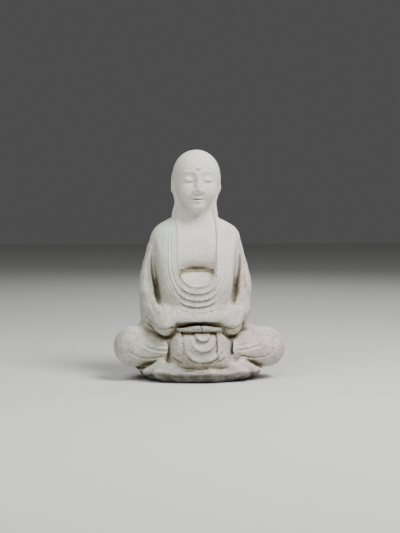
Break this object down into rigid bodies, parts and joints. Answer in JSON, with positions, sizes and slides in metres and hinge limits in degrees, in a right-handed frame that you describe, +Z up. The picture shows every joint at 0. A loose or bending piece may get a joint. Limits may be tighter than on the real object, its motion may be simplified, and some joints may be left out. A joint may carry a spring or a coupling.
{
  "type": "seated monk statue",
  "caption": "Small cast stone figure of a shaven-headed monk seated cross-legged in meditation, hands folded in the lap, standing on its own low base.",
  "frame": {"origin": "on the ground under the middle of the figure's bounding box", "axes": "+Z up the figure, -Y the way it faces, +X to the right of a viewer in front of it"},
  "size_m": [0.1654, 0.1088, 0.22],
  "materials": {
    "stone": "matt, sandy cast stone"
  },
  "bodies": {
    "root": {"statue": "stone"}
  },
  "joints": []
}
